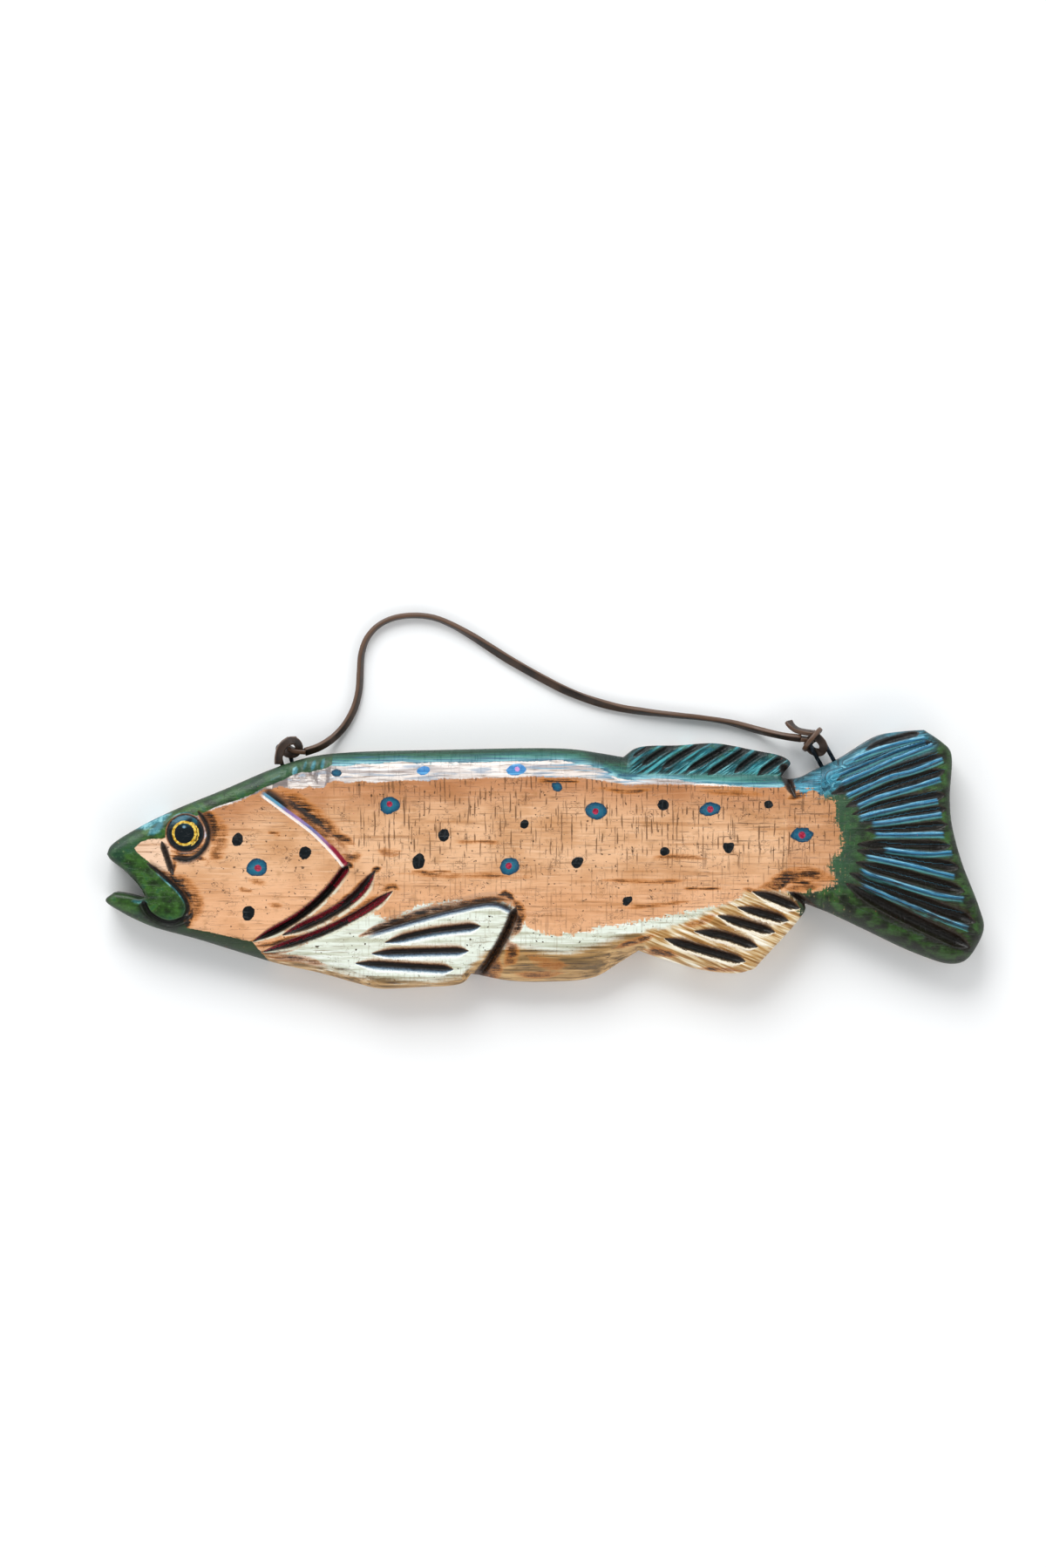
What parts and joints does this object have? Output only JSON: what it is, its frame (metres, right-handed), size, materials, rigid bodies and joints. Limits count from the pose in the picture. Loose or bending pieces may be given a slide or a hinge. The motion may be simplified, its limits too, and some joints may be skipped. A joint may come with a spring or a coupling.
{
  "type": "fish carving",
  "caption": "Painted wooden fish carved from a flat board, with gouged fins and gills, two wire staples and a knotted leather hanging lace.",
  "frame": {"origin": "middle of the board's flat back face, which lies on the surface", "axes": "+X towards the tail, +Y towards the dorsal fin, +Z out of the carved and painted side"},
  "size_m": [0.3559, 0.1536, 0.019],
  "materials": {
    "painted_wood": "saw-marked board with thin matt paint in tan, green, blue and white, brown stain in the cuts and a satin varnish",
    "leather": "dark brown split lace, waxy",
    "wire": "blackened steel wire"
  },
  "bodies": {
    "root": {"fish_body": "painted_wood", "staple_head": "wire", "staple_tail": "wire", "knot_head": "leather", "knot_tail": "leather", "lace": "leather"}
  },
  "joints": []
}
